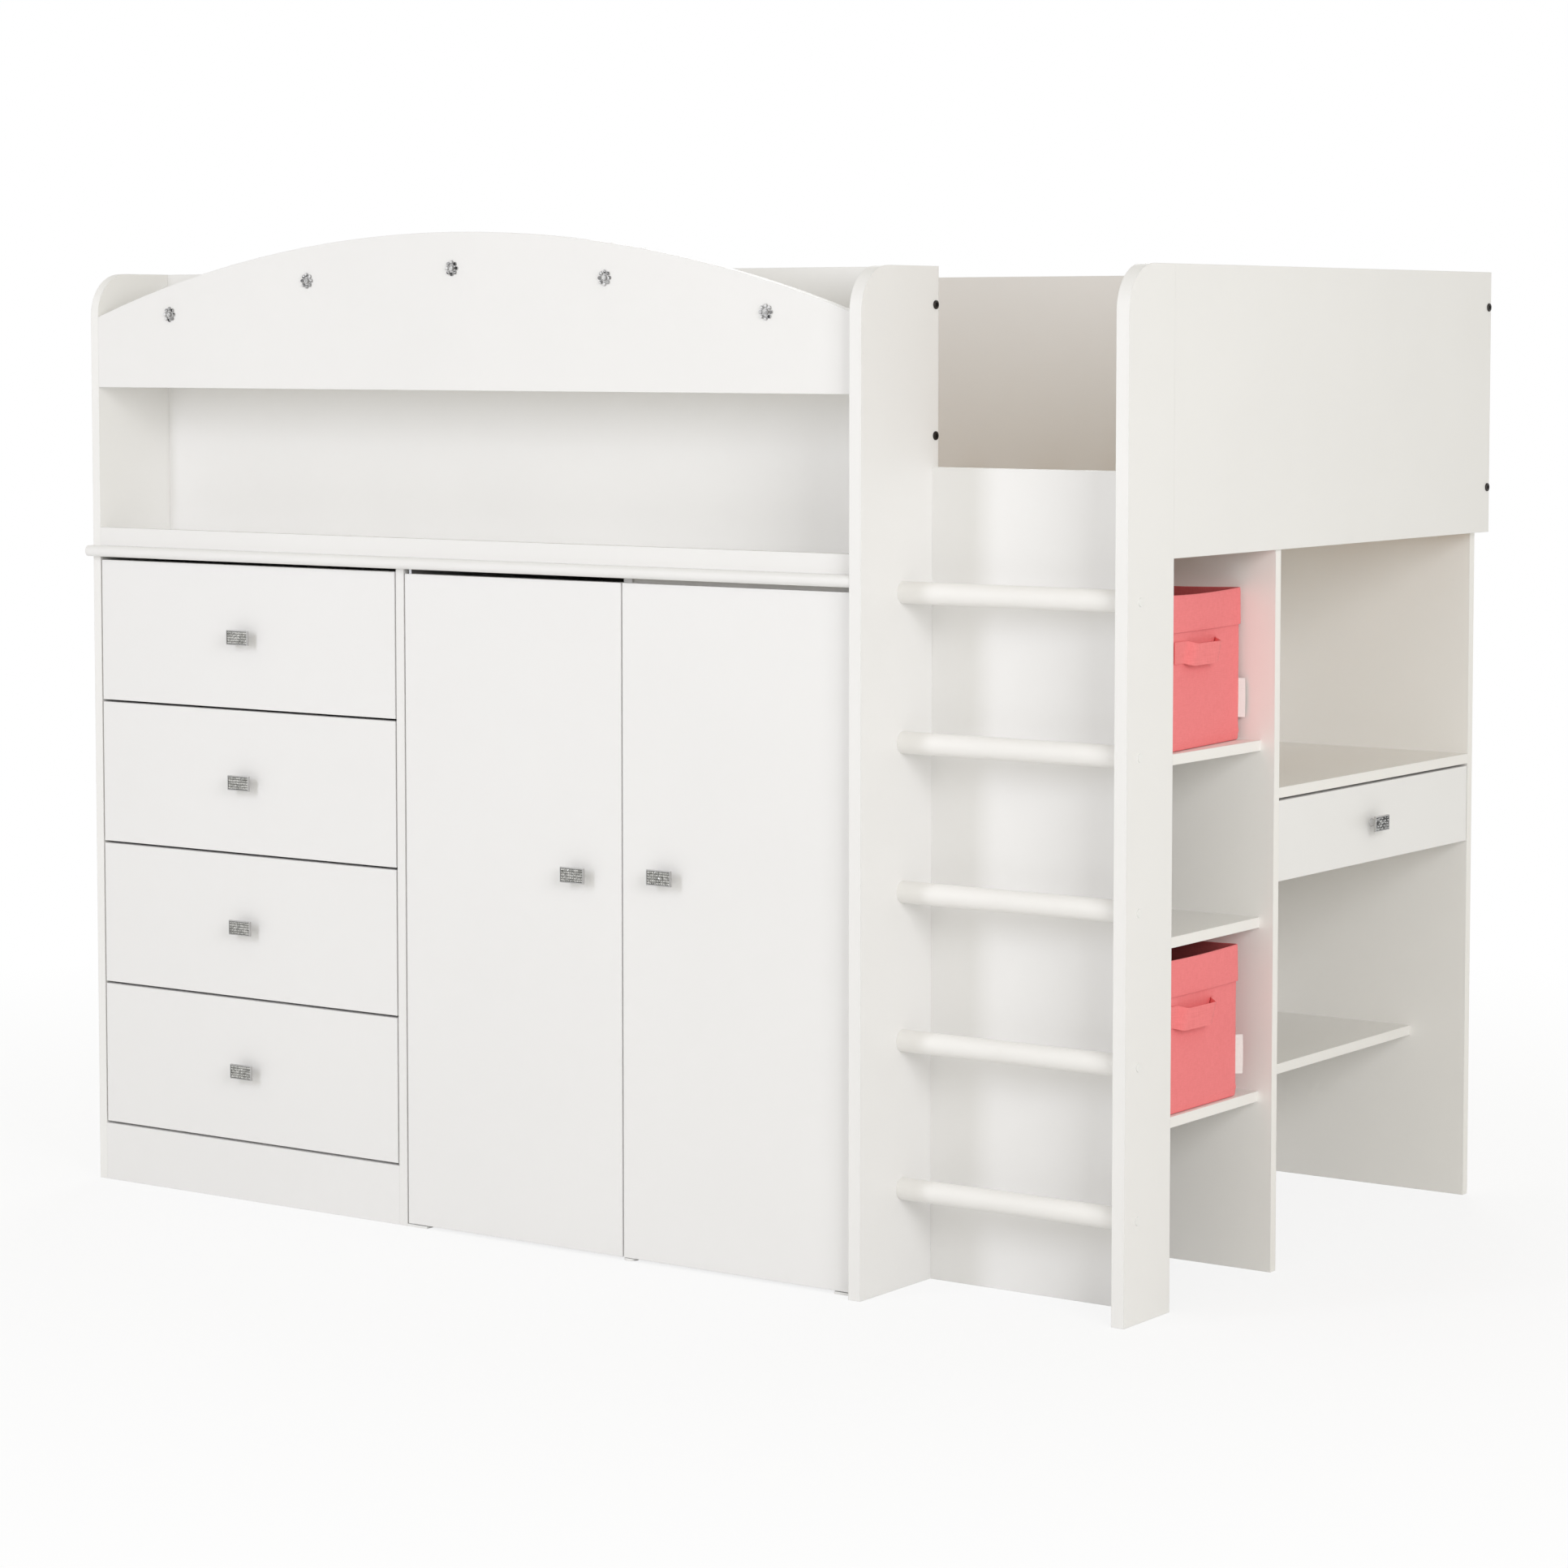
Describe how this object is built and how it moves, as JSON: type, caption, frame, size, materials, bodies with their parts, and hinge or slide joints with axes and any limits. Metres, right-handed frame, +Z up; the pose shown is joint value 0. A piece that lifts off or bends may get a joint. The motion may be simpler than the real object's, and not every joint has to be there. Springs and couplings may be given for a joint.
{
  "type": "loft bed",
  "caption": "Raised single bed over a drawer chest, wardrobe, shelf bay and desk, with an arched guard, an open niche and a ladder of round rungs; drawers slide and doors swing.",
  "frame": {"origin": "on the floor, at the middle of the bed's bounding box", "axes": "+X along the bed from the chest to the ladder end, -Y out of the doors, +Z up"},
  "size_m": [1.9674, 1.228, 1.576],
  "materials": {
    "white_board": "satin white faced board",
    "bare_wood": "sanded softwood",
    "silver_trim": "bright silver",
    "bright_steel": "zinc plated",
    "dark_steel": "blackened",
    "white_plastic": "moulded white",
    "coral_fabric": "matt woven coral"
  },
  "bodies": {
    "frame": {"arched_guard": "white_board", "back_boards": "white_board", "base_top": "white_board", "bay_divider": "white_board", "bay_shelves": "white_board", "bed_slats": "bare_wood", "chest_divider": "white_board", "desk_end_panel": "white_board", "desk_lower_shelf": "white_board", "desk_rear_panel": "white_board", "desk_top": "white_board", "end_board": "white_board", "floor_glides": "white_plastic", "flower_studs": "silver_trim", "frame_bolts": "dark_steel", "hanging_rail": "bright_steel", "ladder_back_panel": "white_board", "ladder_post": "white_board", "ladder_rung_1": "white_board", "ladder_rung_2": "white_board", "ladder_rung_3": "white_board", "ladder_rung_4": "white_board", "ladder_rung_5": "white_board", "ladder_upright": "white_board", "left_end_panel": "white_board", "niche_back_panel": "white_board", "niche_front_rail": "white_board", "pivot_bushes": "white_plastic", "plinths": "white_board", "rail_sockets": "white_plastic", "rear_guard": "white_board", "runner_strips": "white_plastic", "screw_caps": "white_plastic", "slat_ledgers": "bare_wood", "wardrobe_partition": "white_board", "wardrobe_shelves": "white_board", "wardrobe_side": "white_board"},
    "drawer_1": {"drawer_1_front": "white_board", "drawer_1_box": "white_board", "drawer_1_knob": "silver_trim"},
    "drawer_2": {"drawer_2_front": "white_board", "drawer_2_box": "white_board", "drawer_2_knob": "silver_trim"},
    "drawer_3": {"drawer_3_front": "white_board", "drawer_3_box": "white_board", "drawer_3_knob": "silver_trim"},
    "drawer_4": {"drawer_4_front": "white_board", "drawer_4_box": "white_board", "drawer_4_knob": "silver_trim"},
    "desk_drawer": {"desk_drawer_front": "white_board", "desk_drawer_box": "white_board", "desk_drawer_knob": "silver_trim"},
    "left_door": {"left_door": "white_board", "left_door_knob": "silver_trim", "left_door_pins": "bright_steel"},
    "right_door": {"right_door": "white_board", "right_door_knob": "silver_trim", "right_door_pins": "bright_steel"},
    "upper_bin": {"upper_bin": "coral_fabric"},
    "lower_bin": {"lower_bin": "coral_fabric"}
  },
  "joints": [
    {"name": "drawer_1_slide", "type": "slide", "parent": "frame", "child": "drawer_1", "axis": [0, -1, 0], "range_m": [0, 0.33]},
    {"name": "drawer_2_slide", "type": "slide", "parent": "frame", "child": "drawer_2", "axis": [0, -1, 0], "range_m": [0, 0.33]},
    {"name": "drawer_3_slide", "type": "slide", "parent": "frame", "child": "drawer_3", "axis": [0, -1, 0], "range_m": [0, 0.33]},
    {"name": "drawer_4_slide", "type": "slide", "parent": "frame", "child": "drawer_4", "axis": [0, -1, 0], "range_m": [0, 0.33]},
    {"name": "desk_drawer_slide", "type": "slide", "parent": "frame", "child": "desk_drawer", "axis": [1, 0, 0], "range_m": [0, 0.25]},
    {"name": "left_door_hinge", "type": "hinge", "parent": "frame", "child": "left_door", "pos_m": [-0.29825, -0.5865, 0.562], "axis": [0, 0, -1], "range_deg": [0, 90]},
    {"name": "right_door_hinge", "type": "hinge", "parent": "frame", "child": "right_door", "pos_m": [0.54775, -0.5865, 0.562], "axis": [0, 0, 1], "range_deg": [0, 90]},
    {"name": "upper_bin_slide", "type": "slide", "parent": "frame", "child": "upper_bin", "axis": [1, 0, 0], "range_m": [0, 0.26]},
    {"name": "lower_bin_slide", "type": "slide", "parent": "frame", "child": "lower_bin", "axis": [1, 0, 0], "range_m": [0, 0.26]}
  ]
}
